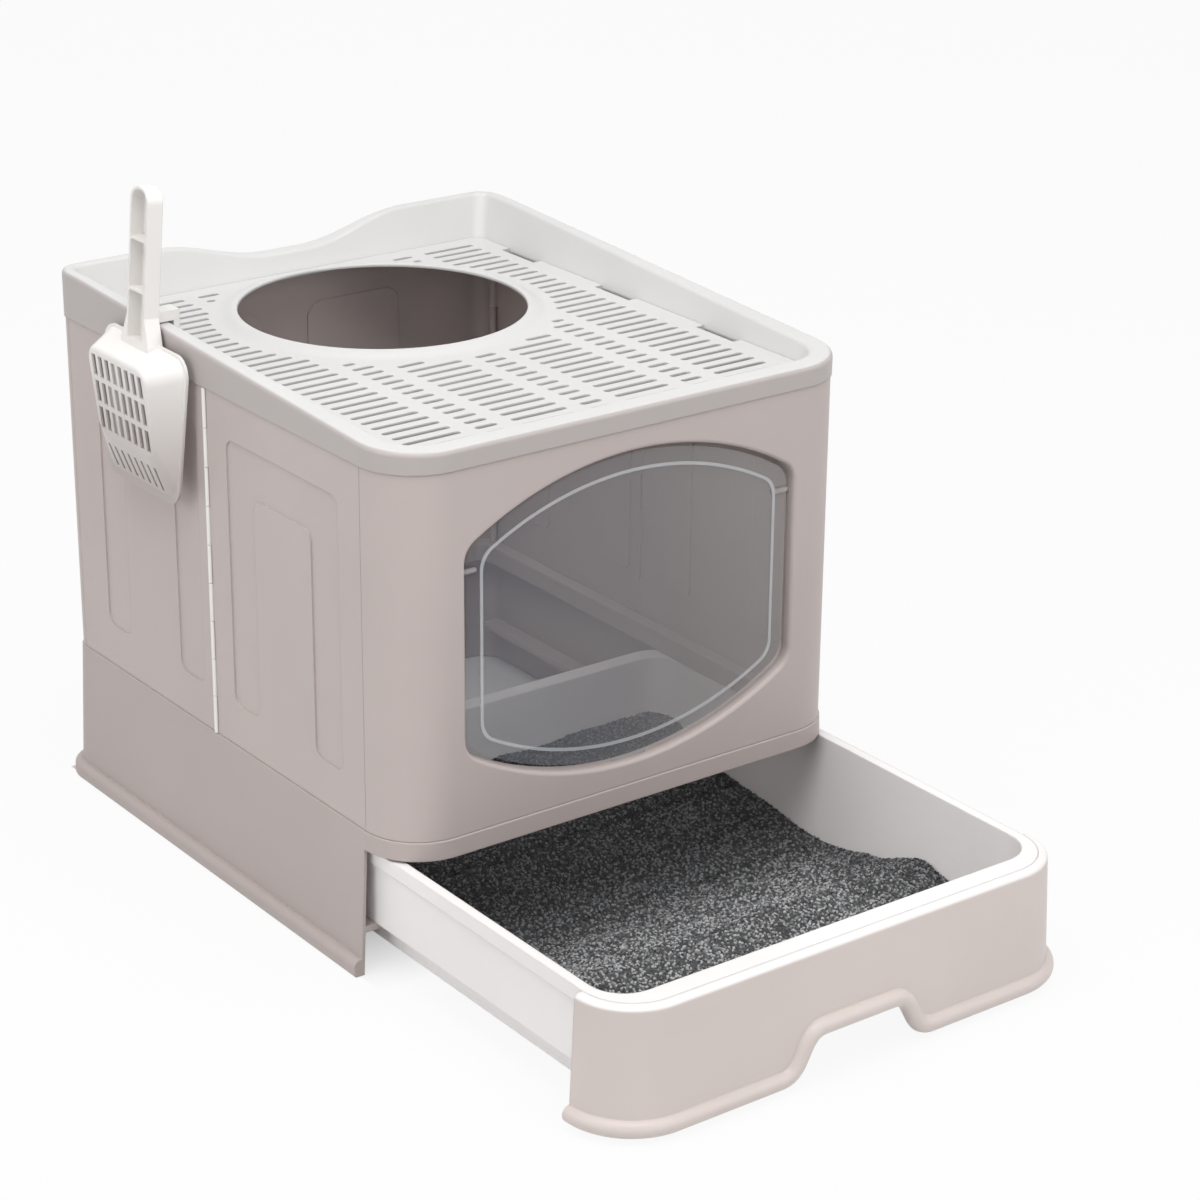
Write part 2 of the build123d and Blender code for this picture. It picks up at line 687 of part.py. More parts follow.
def litter_scoop():
    """The scoop: a slotted bowl against the wall, a leaning handle and a hook over the lid's rim."""
    scoop = bowl_block(0)
    bead = bowl_outline(bowl_rim_top_width, bowl_rim_low_width, bowl_height, bowl_bead)
    scoop += extrude(Plane.YZ * bead, -scoop_sheet)
    scoop += scoop_handle()
    scoop -= bowl_block(scoop_sheet)
    step_y = scoop_slot_width + scoop_slot_bar
    step_z = scoop_slot_height + scoop_slot_bar
    lip_low = lip_slot_rise - bowl_height
    for column in range(scoop_slot_columns):
        y = (column - (scoop_slot_columns - 1) / 2) * step_y
        low, high = y - scoop_slot_width / 2, y + scoop_slot_width / 2
        for row in range(scoop_slot_rows):
            top = -scoop_slot_drop - row * step_z
            slot = block(-overrun, 2 * scoop_sheet, low, high, top - scoop_slot_height, top)
            scoop -= bowl_floor_stand * slot
        low, high = y - lip_slot_width / 2, y + lip_slot_width / 2
        scoop -= block(-bowl_depth, -scoop_sheet, low, high, lip_low, lip_low + lip_slot_length)
    return scoop_stand * scoop + scoop_hook()


def scoop_handle():
    """The handle: a channel open outwards with cross ribs, flared where it meets the bowl."""
    back = bowl_wall_gap - lid_proud - handle_rim_gap
    half = handle_width / 2
    bar = block(back - handle_thickness, back, -half, half, -handle_foot, handle_length)
    bar = fillet(bar.edges().filter_by(Axis.X).group_by(Axis.Z)[-1], handle_round)
    wide = half + handle_flare
    flare = Polyline(
        (-wide, -handle_foot),
        (-wide, 0),
        (-half, handle_flare_height),
        (half, handle_flare_height),
        (wide, 0),
        (wide, -handle_foot),
        close=True,
    )
    bar += extrude(Plane.YZ.offset(back) * make_face(flare), -handle_thickness)
    cell = (handle_length - scoop_sheet) / handle_cells
    for number in range(handle_cells):
        low = scoop_sheet + number * cell
        plan = Rectangle(handle_width - 2 * scoop_sheet, cell - scoop_sheet)
        top_round = handle_round - scoop_sheet if number == handle_cells - 1 else handle_cell_round
        plan = fillet(plan.vertices().group_by(Axis.Y)[-1], top_round)
        plan = Pos(0, low + (cell - scoop_sheet) / 2) * plan
        bar -= extrude(Plane.YZ.offset(back - scoop_sheet) * plan, -handle_thickness)
    return Rot(0, handle_lean, 0) * bar


def scoop_hook():
    """The hook on the handle's inner side, over the lid's rim."""
    seat = wall_top + rim_front_height + rim_rise_share * (scoop_y + hook_width / 2 - front_y) + hook_gap
    rim_here = rim_width + (rim_foot_width - rim_width) * (rim_top - seat + hook_drop) / (rim_top - deck_low)
    lip_x = -half_width + rim_here + hook_gap
    low, high = scoop_y - hook_width / 2, scoop_y + hook_width / 2
    outer_x = -half_width - lid_proud - handle_rim_gap
    hook = block(outer_x, lip_x + hook_reach, low, high, seat, seat + hook_height)
    return hook + block(lip_x, lip_x + hook_reach, low, high, seat - hook_drop, seat + hook_height)


def hinge_pin(radius, x, y):
    """A plain wire pin, as long as its row of barrels."""
    return rod(radius, x, y, wall_low + pin_end_gap, wall_high - pin_end_gap)


left_rear = left_leaf(True, corner_bore)
left_front = left_leaf(False, corner_bore)
right_front = mirror(left_leaf(False, open_bore), about=Plane.YZ)
nodes = {
    "base_frame": base_frame(),
    "rear_wall": rear_wall(),
    "left_rear_leaf": left_rear,
    "left_front_leaf": left_front,
    "right_rear_leaf": mirror(left_rear, about=Plane.YZ),
    "right_front_leaf": right_front,
    "front_wall": front_wall(),
    "flap_panel": flap_panel(),
    "left_flap_pin": flap_pin(-1),
    "right_flap_pin": flap_pin(1),
    "lid_frame": lid_frame(),
    "lid_grate": lid_grate(),
    "litter_tray": litter_tray(),
    "drawer_front": drawer_front(),
    "litter_fill": litter_fill(),
    "litter_scoop": litter_scoop(),
}
for name, side in (("left", -1), ("right", 1)):
    nodes[name + "_rear_hinge_pin"] = hinge_pin(corner_pin_radius, side * corner_hinge_x, rear_hinge_y)
    nodes[name + "_middle_hinge_pin"] = hinge_pin(fold_pin_radius, side * half_width, mid_hinge_y)
    nodes[name + "_front_hinge_pin"] = hinge_pin(corner_pin_radius, side * corner_hinge_x, front_hinge_y)

os.makedirs("parts", exist_ok=True)
for name, piece in nodes.items():
    export_step(piece, f"parts/{name}.step")
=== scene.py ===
import bpy
import bmesh
import math
from mathutils import Euler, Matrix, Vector, noise


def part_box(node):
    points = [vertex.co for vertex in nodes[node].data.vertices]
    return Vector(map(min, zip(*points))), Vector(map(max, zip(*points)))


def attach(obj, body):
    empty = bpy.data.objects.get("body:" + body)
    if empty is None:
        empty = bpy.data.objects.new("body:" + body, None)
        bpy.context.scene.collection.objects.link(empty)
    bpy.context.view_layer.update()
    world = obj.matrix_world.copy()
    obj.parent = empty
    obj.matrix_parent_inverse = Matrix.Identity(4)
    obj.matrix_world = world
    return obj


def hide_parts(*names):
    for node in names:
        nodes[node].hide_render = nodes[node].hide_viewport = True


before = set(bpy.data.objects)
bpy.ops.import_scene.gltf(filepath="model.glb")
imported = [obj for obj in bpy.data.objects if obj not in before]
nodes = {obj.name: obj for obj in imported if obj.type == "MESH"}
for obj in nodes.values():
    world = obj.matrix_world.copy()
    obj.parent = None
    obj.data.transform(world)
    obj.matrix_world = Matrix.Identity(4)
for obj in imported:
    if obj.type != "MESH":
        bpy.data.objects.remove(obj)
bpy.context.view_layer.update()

# Base frame. Warm grey polypropylene, injection moulded with a fine matt skin.
# It stands on its flared foot, carries the walls on its ledge, and is a shade darker than they are.
base_grey = (0.462, 0.400, 0.382)


def moulded_plastic(name, colour, roughness, grain_size, grain_height, edge_round):
    """A moulded plastic skin: faint cloudy tone, fine grain, and soft edges with a painted highlight that
    makes them paler.
    """
    material = bpy.data.materials.new(name)
    material.use_nodes = True
    tree = material.node_tree
    shader = tree.nodes["Principled BSDF"]
    place = tree.nodes.new("ShaderNodeTexCoord")

    cloud = tree.nodes.new("ShaderNodeTexNoise")
    cloud.inputs["Scale"].default_value = 7.0
    cloud.inputs["Detail"].default_value = 4.0
    tree.links.new(place.outputs["Object"], cloud.inputs["Vector"])
    tone = tree.nodes.new("ShaderNodeValToRGB")
    tone.color_ramp.elements[0].position = 0.3
    tone.color_ramp.elements[1].position = 0.7
    tone.color_ramp.elements[0].color = (*[c * 0.965 for c in colour], 1)
    tone.color_ramp.elements[1].color = (*[min(c * 1.025, 1) for c in colour], 1)
    tree.links.new(cloud.outputs["Fac"], tone.inputs["Fac"])

    grain = tree.nodes.new("ShaderNodeTexNoise")
    grain.inputs["Scale"].default_value = 1 / grain_size
    grain.inputs["Detail"].default_value = 2.0
    tree.links.new(place.outputs["Object"], grain.inputs["Vector"])
    sheen = tree.nodes.new("ShaderNodeMapRange")
    sheen.inputs["To Min"].default_value = roughness - 0.06
    sheen.inputs["To Max"].default_value = roughness + 0.06
    tree.links.new(grain.outputs["Fac"], sheen.inputs["Value"])
    tree.links.new(sheen.outputs["Result"], shader.inputs["Roughness"])

    soft_edge = tree.nodes.new("ShaderNodeBevel")
    soft_edge.samples = 4
    soft_edge.inputs["Radius"].default_value = edge_round
    surface = tree.nodes.new("ShaderNodeNewGeometry")
    straight = tree.nodes.new("ShaderNodeVectorMath")
    straight.operation = "DOT_PRODUCT"
    tree.links.new(soft_edge.outputs["Normal"], straight.inputs[0])
    tree.links.new(surface.outputs["Normal"], straight.inputs[1])
    # Painted highlight: where the softened normal turns away from the face, the edge is painted paler.
    painted_edge_highlight = tree.nodes.new("ShaderNodeMapRange")
    painted_edge_highlight.inputs["From Min"].default_value = 0.985
    painted_edge_highlight.inputs["From Max"].default_value = 0.80
    painted_edge_highlight.inputs["To Max"].default_value = 0.55
    tree.links.new(straight.outputs["Value"], painted_edge_highlight.inputs["Value"])
    edge_highlighted = tree.nodes.new("ShaderNodeMixRGB")
    edge_highlighted.name = "tone_with_edge_highlight"
    edge_highlighted.inputs["Color2"].default_value = (*[min(c * 1.35, 0.9) for c in colour], 1)
    tree.links.new(painted_edge_highlight.outputs["Result"], edge_highlighted.inputs["Fac"])
    tree.links.new(tone.outputs["Color"], edge_highlighted.inputs["Color1"])
    tree.links.new(edge_highlighted.outputs["Color"], shader.inputs["Base Color"])

    bump = tree.nodes.new("ShaderNodeBump")
    bump.inputs["Strength"].default_value = 0.35
    bump.inputs["Distance"].default_value = grain_height
    tree.links.new(grain.outputs["Fac"], bump.inputs["Height"])
    tree.links.new(soft_edge.outputs["Normal"], bump.inputs["Normal"])
    tree.links.new(bump.outputs["Normal"], shader.inputs["Normal"])
    shader.inputs["IOR"].default_value = 1.49
    return material


def finish_nodes(names, material):
    """Gives CAD nodes a finish in place of the plain one they arrive with."""
    for name in names:
        nodes[name].data.materials.clear()
        nodes[name].data.materials.append(material)


base_skin = moulded_plastic("warm_grey_base_skin", base_grey, 0.48, 0.0007, 0.00012, 0.0012)
finish_nodes(("base_frame",), base_skin)

# Rear and front walls. The same warm grey moulding; the rear wall is fixed on the base, and the front
# wall has a rolled lip round its window.
wall_grey = (0.518, 0.450, 0.431)
wall_skin = moulded_plastic("warm_grey_wall_skin", wall_grey, 0.46, 0.0007, 0.00012, 0.0012)
finish_nodes(("rear_wall", "front_wall"), wall_skin)

# Wall leaves. Two to a side, with a channel pressed into each, hinged in the middle.
# The fold's fine bead stands proud of the wall and is painted near-white as a painted highlight.
leaf_skin = moulded_plastic("warm_grey_leaf_skin", wall_grey, 0.46, 0.0007, 0.00012, 0.0012)
bead_foot, bead_crown = 0.2001, 0.2009
bead_painted_highlight = (0.86, 0.84, 0.82)


def axes_of(tree):
    """The X, Y and Z of a piece's own coordinates, to place a finish by."""
    place = tree.nodes.new("ShaderNodeTexCoord")
    axes = tree.nodes.new("ShaderNodeSeparateXYZ")
    tree.links.new(place.outputs["Object"], axes.inputs["Vector"])
    return axes.outputs


def size_of(tree, measure):
    """A measure without its sign."""
    plain = tree.nodes.new("ShaderNodeMath")
    plain.operation = "ABSOLUTE"
    tree.links.new(measure, plain.inputs[0])
    return plain.outputs["Value"]


def way_along(tree, measure, start, end, full=1.0):
    """How far a measure has gone from a start to an end: from none to full."""
    way = tree.nodes.new("ShaderNodeMapRange")
    way.inputs["From Min"].default_value = start
    way.inputs["From Max"].default_value = end
    way.inputs["To Max"].default_value = full
    tree.links.new(measure, way.inputs["Value"])
    return way.outputs["Result"]


def tint_where(skin, share, colour):
    """Turns a moulded skin's tone to another colour by a share."""
    tree = skin.node_tree
    tint = tree.nodes.new("ShaderNodeMixRGB")
    tint.inputs["Color2"].default_value = (*colour, 1)
    tree.links.new(share, tint.inputs["Fac"])
    tree.links.new(tree.nodes["tone_with_edge_highlight"].outputs["Color"], tint.inputs["Color1"])
    tree.links.new(tint.outputs["Color"], tree.nodes["Principled BSDF"].inputs["Base Color"])


leaf_tree = leaf_skin.node_tree
on_bead = way_along(leaf_tree, size_of(leaf_tree, axes_of(leaf_tree)["X"]), bead_foot, bead_crown)
# Painted highlight: the bead's crown is turned near-white.
tint_where(leaf_skin, on_bead, bead_painted_highlight)
finish_nodes(("left_rear_leaf", "left_front_leaf", "right_rear_leaf", "right_front_leaf"), leaf_skin)

# Hinge and flap pins. Plain extruded rods pushed through the barrels of the walls.
# They show only as small round ends between the knuckles and at the flap's pivots.
rod_grey = (0.42, 0.38, 0.36)
pin_skin = moulded_plastic("grey_rod_skin", rod_grey, 0.35, 0.0006, 0.00005, 0.0003)
finish_nodes([name for name in nodes if name.endswith("_pin")], pin_skin)

# Lid. A rim with a dip in the back, and a slotted deck dropped inside, in a satin moulding.
# The deck and the rim's top and inside are a cool pale grey; the rim's outward-facing sides are painted
# darker, nearer the walls' grey, as painted shade.
lid_pale = (0.640, 0.634, 0.628)
rim_side_painted_shade = (0.470, 0.430, 0.415)
side_shade_start, side_shade_full = 0.08, 0.16
deck_skin = moulded_plastic("cool_pale_deck_skin", lid_pale, 0.42, 0.0008, 0.00008, 0.0012)
finish_nodes(("lid_grate",), deck_skin)
rim_skin = moulded_plastic("rim_skin_with_painted_side_shade", lid_pale, 0.42, 0.0008, 0.00008, 0.0015)
rim_tree = rim_skin.node_tree
rim_place = rim_tree.nodes.new("ShaderNodeTexCoord")
level_place = rim_tree.nodes.new("ShaderNodeVectorMath")
level_place.operation = "MULTIPLY"
level_place.inputs[1].default_value = (1, 1, 0)
rim_tree.links.new(rim_place.outputs["Object"], level_place.inputs[0])
outward = rim_tree.nodes.new("ShaderNodeVectorMath")
outward.operation = "DOT_PRODUCT"
rim_tree.links.new(level_place.outputs["Vector"], outward.inputs[0])
rim_tree.links.new(rim_place.outputs["Normal"], outward.inputs[1])
# Painted shade: faces turned outwards take the darker grey.
tint_where(rim_skin, way_along(rim_tree, outward.outputs["Value"], side_shade_start, side_shade_full), rim_side_painted_shade)
finish_nodes(("lid_frame",), rim_skin)

# Drawer. White polypropylene with a faintly warm tint: the basin with its rim, and the front panel.
# The front is painted warmer and darker than the basin as painted shade, with a painted highlight along its
# top edge, and has a rolled foot.
tray_white = (0.875, 0.848, 0.838)
tray_skin = moulded_plastic("warm_white_tray_skin", tray_white, 0.40, 0.0008, 0.00006, 0.0018)
finish_nodes(("litter_tray",), tray_skin)
# Painted shade: the front is coloured darker than the tray's white.
front_painted_shade = (0.655, 0.582, 0.552)
front_edge_painted_highlight = (0.85, 0.83, 0.82)
front_highlight_start, front_highlight_full = 0.0035, 0.0020
front_skin = moulded_plastic("drawer_front_skin_with_painted_light", front_painted_shade, 0.40, 0.0008, 0.00006, 0.0018)
front_tree = front_skin.node_tree
front_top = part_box("drawer_front")[1].z
highlight_start, highlight_full = front_top - front_highlight_start, front_top - front_highlight_full
# Painted highlight: the top edge is turned pale.
on_highlight = way_along(front_tree, axes_of(front_tree)["Z"], highlight_start, highlight_full)
tint_where(front_skin, on_highlight, front_edge_painted_highlight)
finish_nodes(("drawer_front",), front_skin)

# Scoop. Glossier ivory-white polypropylene, moulded in one piece with its slots, ribs and hook.
# The bowl is painted grey towards the bottom as painted shade.
scoop_ivory = (0.85, 0.825, 0.80)
bowl_painted_shade = (0.44, 0.385, 0.362)
bowl_high, bowl_low = 0.395, 0.295
scoop_skin = moulded_plastic("ivory_scoop_skin", scoop_ivory, 0.30, 0.0008, 0.00004, 0.0008)
scoop_tree = scoop_skin.node_tree
scoop_edge_highlighted = scoop_tree.nodes["tone_with_edge_highlight"]
# Painted shade: the bowl darkens to grey towards its bottom.
bowl_shade_share = way_along(scoop_tree, axes_of(scoop_tree)["Z"], bowl_high, bowl_low)
scoop_shaded_tone = scoop_tree.nodes.new("ShaderNodeMixRGB")
scoop_shaded_tone.inputs["Color2"].default_value = (*bowl_painted_shade, 1)
scoop_tree.links.new(bowl_shade_share, scoop_shaded_tone.inputs["Fac"])
scoop_tree.links.new(scoop_edge_highlighted.inputs["Color1"].links[0].from_socket, scoop_shaded_tone.inputs["Color1"])
scoop_tree.links.new(scoop_shaded_tone.outputs["Color"], scoop_edge_highlighted.inputs["Color1"])
finish_nodes(("litter_scoop",), scoop_skin)

# Flap. A thin clear sheet that hangs on two pins, with a raised rib inside its edge.
# What stands behind it shows through; its colour runs from a bluish painted reflection on the left to a
# warm grey painted reflection, more opaque, on the right, its gloss varies with a faint haze, and the rib
# is painted paler and more opaque as a painted highlight.
flap_skin = bpy.data.materials.new("clear_sheet_with_painted_light")
flap_skin.use_nodes = True
flap_tree = flap_skin.node_tree
flap_shader = flap_tree.nodes["Principled BSDF"]
flap_shader.inputs["IOR"].default_value = 1.45
flap_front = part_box("flap_panel")[0]
rib_height = 0.0009
flap_place = flap_tree.nodes.new("ShaderNodeTexCoord")
flap_haze = flap_tree.nodes.new("ShaderNodeTexNoise")
flap_haze.inputs["Scale"].default_value = 14.0
flap_haze.inputs["Detail"].default_value = 3.0
flap_tree.links.new(flap_place.outputs["Object"], flap_haze.inputs["Vector"])
# Painted reflection: bluish on the left, warm grey and more opaque on the right.
flap_painted_reflection = flap_tree.nodes.new("ShaderNodeValToRGB")
flap_painted_reflection.color_ramp.elements[0].color = (0.330, 0.365, 0.435, 1)
flap_painted_reflection.color_ramp.elements[1].color = (0.560, 0.535, 0.525, 1)
flap_axes = axes_of(flap_tree)
toward_right = way_along(flap_tree, flap_axes["X"], flap_front.x, -flap_front.x)
flap_tree.links.new(toward_right, flap_painted_reflection.inputs["Fac"])
reflection_cover = flap_tree.nodes.new("ShaderNodeMapRange")
reflection_cover.inputs["To Min"].default_value = 0.12
reflection_cover.inputs["To Max"].default_value = 0.25
flap_tree.links.new(toward_right, reflection_cover.inputs["Value"])
flap_gloss = flap_tree.nodes.new("ShaderNodeMapRange")
flap_gloss.inputs["To Min"].default_value = 0.04
flap_gloss.inputs["To Max"].default_value = 0.12
flap_tree.links.new(flap_haze.outputs["Fac"], flap_gloss.inputs["Value"])
flap_tree.links.new(flap_gloss.outputs["Result"], flap_shader.inputs["Roughness"])
rib_foot, rib_crown = flap_front.y + rib_height * 0.95, flap_front.y + rib_height * 0.6
on_rib = way_along(flap_tree, flap_axes["Y"], rib_foot, rib_crown)
# Painted highlight: the rib is painted paler and more opaque.
rib_painted_highlight = flap_tree.nodes.new("ShaderNodeMixRGB")
rib_painted_highlight.inputs["Color2"].default_value = (0.74, 0.76, 0.79, 1)
flap_tree.links.new(on_rib, rib_painted_highlight.inputs["Fac"])
flap_tree.links.new(flap_painted_reflection.outputs["Color"], rib_painted_highlight.inputs["Color1"])
flap_tree.links.new(rib_painted_highlight.outputs["Color"], flap_shader.inputs["Base Color"])
flap_cover = flap_tree.nodes.new("ShaderNodeMapRange")
flap_tree.links.new(reflection_cover.outputs["Result"], flap_cover.inputs["To Min"])
flap_cover.inputs["To Max"].default_value = 0.5
flap_tree.links.new(on_rib, flap_cover.inputs["Value"])
flap_tree.links.new(flap_cover.outputs["Result"], flap_shader.inputs["Alpha"])
finish_nodes(("flap_panel",), flap_skin)

# Litter. Charcoal grey bentonite granules, two to three millimetres across, raked up in the basin.
# A closed heap takes the basin's shape, with granules from charcoal to ash all over it, and it is
# painted darker towards the rear and the right as painted shade.
litter_low, litter_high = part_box("litter_fill")
granule_size = 0.0025
granules_per_strip = 9400
granule_strips = 4
heap_step = 0.006
basin_lean = 0.142
basin_corner = 0.024
front_litter_height = 0.037
basin_front = litter_low.y - basin_lean * (litter_high.z - front_litter_height)
raked_shares = (
    (0, 0.57), (0.07, 0.55), (0.17, 0.75), (0.23, 0.83), (0.36, 0.47), (0.46, 0.22), (0.58, 0.28),
    (0.78, 0.45), (1, 1.0),
)
lump_height, lumps_per_metre = 0.0035, 24


def litter_height(x, y):
    """The heap's height above the floor: ridges left by raking, and a little unevenness."""
    along = max(y - litter_low.y, 0) / (litter_high.y - litter_low.y)
    height = raked_shares[-1][1]
    for (start, low), (end, high) in zip(raked_shares, raked_shares[1:]):
        if start <= along <= end:
            share = (along - start) / (end - start)
            height = low + (high - low) * share * share * (3 - 2 * share)
            break
    rough = noise.fractal(Vector((x * lumps_per_metre, y * lumps_per_metre, 0.3)), 1.0, 2.0, 3)
    depth = litter_high.z - litter_low.z
    return litter_low.z + depth * height + lump_height * rough - granule_size


def inside_basin(x, y, z):
    """Draws a point in to the basin's walls, which lean inwards and turn round corners."""
    draw_in = basin_lean * (litter_high.z - z) + basin_corner
    middle_y = (basin_front + litter_high.y) / 2
    half_x = litter_high.x - draw_in
    half_y = (litter_high.y - basin_front) / 2 - draw_in
    out = Vector((max(abs(x) - half_x, 0), max(abs(y - middle_y) - half_y, 0)))
    if out.length > basin_corner:
        out *= basin_corner / out.length
    x = math.copysign(min(abs(x), half_x) + out.x, x)
    y = middle_y + math.copysign(min(abs(y - middle_y), half_y) + out.y, y - middle_y)
    return x, y, z


def heap_mesh():
    """The heap as a closed body: a wavy top, sides that follow the basin, and a flat underside."""
    mesh = bmesh.new()
    columns = int((litter_high.x - litter_low.x) / heap_step)
    rows = int((litter_high.y - litter_low.y) / heap_step)
    top, bottom = [], []
    for row in range(rows + 1):
        y = basin_front + (litter_high.y - basin_front) * row / rows
        for column in range(columns + 1):
            x = litter_low.x + (litter_high.x - litter_low.x) * column / columns
            top.append(mesh.verts.new(inside_basin(x, y, litter_height(x, y))))
            bottom.append(mesh.verts.new(inside_basin(x, y, litter_low.z + granule_size)))
    width = columns + 1
    for row in range(rows):
        for column in range(columns):
            first = row * width + column
            loop = (first, first + 1, first + width + 1, first + width)
            mesh.faces.new([top[corner] for corner in loop])
            mesh.faces.new([bottom[corner] for corner in reversed(loop)])
    edge = list(range(columns)) + [row * width + columns for row in range(rows)]
    edge += [rows * width + column for column in range(columns, 0, -1)]
    edge += [row * width for row in range(rows, 0, -1)]
    for here, there in zip(edge, edge[1:] + edge[:1]):
        mesh.faces.new((top[here], bottom[here], bottom[there], top[there]))
    bmesh.ops.recalc_face_normals(mesh, faces=mesh.faces)
    data = bpy.data.meshes.new("litter_heap")
    mesh.to_mesh(data)
    mesh.free()
    return data


litter_skin = bpy.data.materials.new("charcoal_granule_skin")
litter_skin.use_nodes = True
litter_tree = litter_skin.node_tree
litter_shader = litter_tree.nodes["Principled BSDF"]
litter_place = litter_tree.nodes.new("ShaderNodeTexCoord")
litter_fleck = litter_tree.nodes.new("ShaderNodeTexNoise")
litter_fleck.inputs["Scale"].default_value = 420.0
litter_fleck.inputs["Detail"].default_value = 3.0
litter_tree.links.new(litter_place.outputs["Object"], litter_fleck.inputs["Vector"])
granule_tone = litter_tree.nodes.new("ShaderNodeAttribute")
granule_tone.attribute_name = "granule_tone"
mixed_tone = litter_tree.nodes.new("ShaderNodeMath")
mixed_tone.operation = "MULTIPLY_ADD"
mixed_tone.inputs[1].default_value = 0.3
litter_tree.links.new(litter_fleck.outputs["Fac"], mixed_tone.inputs[0])
litter_tree.links.new(granule_tone.outputs["Fac"], mixed_tone.inputs[2])
litter_tone = litter_tree.nodes.new("ShaderNodeValToRGB")
litter_tone.color_ramp.elements[0].position = 0.35
litter_tone.color_ramp.elements[1].position = 1.0
litter_tone.color_ramp.elements[0].color = (0.055, 0.056, 0.058, 1)
litter_tone.color_ramp.elements[1].color = (0.46, 0.464, 0.472, 1)
ash_grey = litter_tone.color_ramp.elements.new(0.75)
ash_grey.color = (0.205, 0.206, 0.210, 1)
litter_tree.links.new(mixed_tone.outputs["Value"], litter_tone.inputs["Fac"])


def largest_of(tree, first, *others):
    """The largest of several values."""
    for other in others:
        larger = tree.nodes.new("ShaderNodeMath")
        larger.operation = "MAXIMUM"
        tree.links.new(first, larger.inputs[0])
        tree.links.new(other, larger.inputs[1])
        first = larger.outputs["Value"]
    return first


painted_shade_share = 0.85
shade_right_span = (0.09, 0.18)
shade_rear_span = (-0.315, -0.235)
litter_axes = axes_of(litter_tree)
# Painted shade: the litter darkens towards the rear, by the box, and towards the right.
shade_right = way_along(litter_tree, litter_axes["X"], *shade_right_span, painted_shade_share)
shade_rear = way_along(litter_tree, litter_axes["Y"], *shade_rear_span, painted_shade_share)
painted_shade_tone = litter_tree.nodes.new("ShaderNodeMixRGB")
painted_shade_tone.blend_type = "MULTIPLY"
painted_shade_tone.inputs["Color2"].default_value = (0.26, 0.265, 0.275, 1)
litter_tree.links.new(largest_of(litter_tree, shade_right, shade_rear), painted_shade_tone.inputs["Fac"])
litter_tree.links.new(litter_tone.outputs["Color"], painted_shade_tone.inputs["Color1"])
litter_tree.links.new(painted_shade_tone.outputs["Color"], litter_shader.inputs["Base Color"])
litter_bump = litter_tree.nodes.new("ShaderNodeBump")
litter_bump.inputs["Distance"].default_value = 0.0004
litter_tree.links.new(litter_fleck.outputs["Fac"], litter_bump.inputs["Height"])
litter_tree.links.new(litter_bump.outputs["Normal"], litter_shader.inputs["Normal"])
litter_shader.inputs["Roughness"].default_value = 0.75

granule_tree = bpy.data.node_groups.new("scattered_granules", "GeometryNodeTree")
granule_tree.interface.new_socket("Heap", in_out="INPUT", socket_type="NodeSocketGeometry")
for socket_name in ("Granule size", "Density", "Start", "End"):
    granule_tree.interface.new_socket(socket_name, in_out="INPUT", socket_type="NodeSocketFloat")
granule_tree.interface.new_socket("Granules", in_out="OUTPUT", socket_type="NodeSocketGeometry")
group_in = granule_tree.nodes.new("NodeGroupInput")
group_out = granule_tree.nodes.new("NodeGroupOutput")
spot = granule_tree.nodes.new("GeometryNodeInputPosition")
spot_axes = granule_tree.nodes.new("ShaderNodeSeparateXYZ")
facing = granule_tree.nodes.new("GeometryNodeInputNormal")
facing_axes = granule_tree.nodes.new("ShaderNodeSeparateXYZ")
past_start = granule_tree.nodes.new("FunctionNodeCompare")
past_start.operation = "GREATER_EQUAL"
before_end = granule_tree.nodes.new("FunctionNodeCompare")
before_end.operation = "LESS_THAN"
upward = granule_tree.nodes.new("FunctionNodeCompare")
upward.operation = "GREATER_THAN"
upward.inputs["B"].default_value = 0.2
in_strip = granule_tree.nodes.new("FunctionNodeBooleanMath")
on_top = granule_tree.nodes.new("FunctionNodeBooleanMath")
scatter = granule_tree.nodes.new("GeometryNodeDistributePointsOnFaces")
scatter.inputs["Seed"].default_value = 7
pellet = granule_tree.nodes.new("GeometryNodeMeshIcoSphere")
pellet.inputs["Subdivisions"].default_value = 1
half_size = granule_tree.nodes.new("ShaderNodeMath")
half_size.operation = "MULTIPLY"
half_size.inputs[1].default_value = 0.5
turn = granule_tree.nodes.new("FunctionNodeRandomValue")
turn.data_type = "FLOAT_VECTOR"
turn.inputs["Max"].default_value = (math.tau, math.tau, math.tau)
turn.inputs["Seed"].default_value = 3
girth = granule_tree.nodes.new("FunctionNodeRandomValue")
girth.data_type = "FLOAT_VECTOR"
girth.inputs["Min"].default_value = (0.65, 0.65, 0.6)
girth.inputs["Max"].default_value = (1.35, 1.35, 1.2)
girth.inputs["Seed"].default_value = 5
place_pellets = granule_tree.nodes.new("GeometryNodeInstanceOnPoints")
shade = granule_tree.nodes.new("FunctionNodeRandomValue")
shade.inputs["Seed"].default_value = 11
keep_tone = granule_tree.nodes.new("GeometryNodeStoreNamedAttribute")
keep_tone.domain = "INSTANCE"
keep_tone.inputs["Name"].default_value = "granule_tone"
realize = granule_tree.nodes.new("GeometryNodeRealizeInstances")
paint = granule_tree.nodes.new("GeometryNodeSetMaterial")
paint.inputs["Material"].default_value = litter_skin
link = granule_tree.links.new
link(spot.outputs["Position"], spot_axes.inputs["Vector"])
link(facing.outputs["Normal"], facing_axes.inputs["Vector"])
link(spot_axes.outputs["Y"], past_start.inputs["A"])
link(group_in.outputs["Start"], past_start.inputs["B"])
link(spot_axes.outputs["Y"], before_end.inputs["A"])
link(group_in.outputs["End"], before_end.inputs["B"])
link(facing_axes.outputs["Z"], upward.inputs["A"])
link(past_start.outputs["Result"], in_strip.inputs[0])
link(before_end.outputs["Result"], in_strip.inputs[1])
